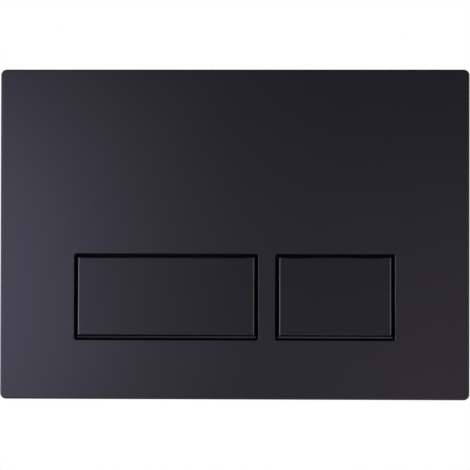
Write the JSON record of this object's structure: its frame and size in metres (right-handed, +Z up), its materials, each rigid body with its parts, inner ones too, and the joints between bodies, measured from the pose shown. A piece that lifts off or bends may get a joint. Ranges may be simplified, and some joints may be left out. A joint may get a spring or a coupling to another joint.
{
  "type": "dual flush plate",
  "caption": "Flat rectangular actuator plate for a concealed cistern, with a wide and a narrow hinged push button that drive spring-returned push rods to the flush valve.",
  "frame": {"origin": "middle of the plate, on the wall plane, midway between the two fixing bolts", "axes": "+X to the right seen from the front, +Y from the room into the wall along the bolts and push rods, +Z up"},
  "size_m": [0.2346, 0.0777, 0.165],
  "materials": {
    "cover_black": "fine satin black",
    "cap_black": "fine satin black",
    "carrier_black": "matt black, as moulded",
    "frame_grey": "as moulded, grey",
    "guide_acetal": "natural acetal",
    "plunger_acetal": "natural acetal",
    "rod_nylon": "natural nylon",
    "bolt_nylon": "natural nylon",
    "stainless_pin": "ground stainless steel",
    "spring_steel": "drawn stainless wire",
    "washer_zinc": "zinc plated",
    "buffer_rubber": "matt"
  },
  "bodies": {
    "plate": {"cover_plate": "cover_black", "mounting_frame": "frame_grey", "full_flush_hinge_pin": "stainless_pin", "full_flush_guide_sleeve": "guide_acetal", "full_flush_return_spring": "spring_steel", "half_flush_hinge_pin": "stainless_pin", "half_flush_guide_sleeve": "guide_acetal", "half_flush_return_spring": "spring_steel", "fixing_bolts": "bolt_nylon", "fixing_washers": "washer_zinc"},
    "full_button": {"full_flush_cap": "cap_black", "full_flush_carrier": "carrier_black", "full_flush_buffers": "buffer_rubber"},
    "half_button": {"half_flush_cap": "cap_black", "half_flush_carrier": "carrier_black", "half_flush_buffers": "buffer_rubber"},
    "full_rod": {"full_flush_plunger": "plunger_acetal", "full_flush_push_rod": "rod_nylon"},
    "half_rod": {"half_flush_plunger": "plunger_acetal", "half_flush_push_rod": "rod_nylon"}
  },
  "joints": [
    {"name": "full_button_press", "type": "hinge", "parent": "plate", "child": "full_button", "pos_m": [-0.03415, -0.0046, -0.00515], "axis": [1, 0, 0], "range_deg": [0, 6.5], "stiffness_Nm_per_rad": 0.35, "springref_deg": -16.44},
    {"name": "full_rod_slide", "type": "slide", "parent": "plate", "child": "full_rod", "axis": [0, 1, 0], "range_m": [0, 0.0032], "deforming": ["full_flush_return_spring"]},
    {"name": "half_button_press", "type": "hinge", "parent": "plate", "child": "half_button", "pos_m": [0.0503, -0.0046, -0.00515], "axis": [1, 0, 0], "range_deg": [0, 6.5], "stiffness_Nm_per_rad": 0.35, "springref_deg": -16.44},
    {"name": "half_rod_slide", "type": "slide", "parent": "plate", "child": "half_rod", "axis": [0, 1, 0], "range_m": [0, 0.0032], "deforming": ["half_flush_return_spring"]}
  ],
  "couplings": [
    {"joint": "full_rod_slide", "follows": "full_button_press", "m_per_rad": 0.02819},
    {"joint": "half_rod_slide", "follows": "half_button_press", "m_per_rad": 0.02819}
  ]
}
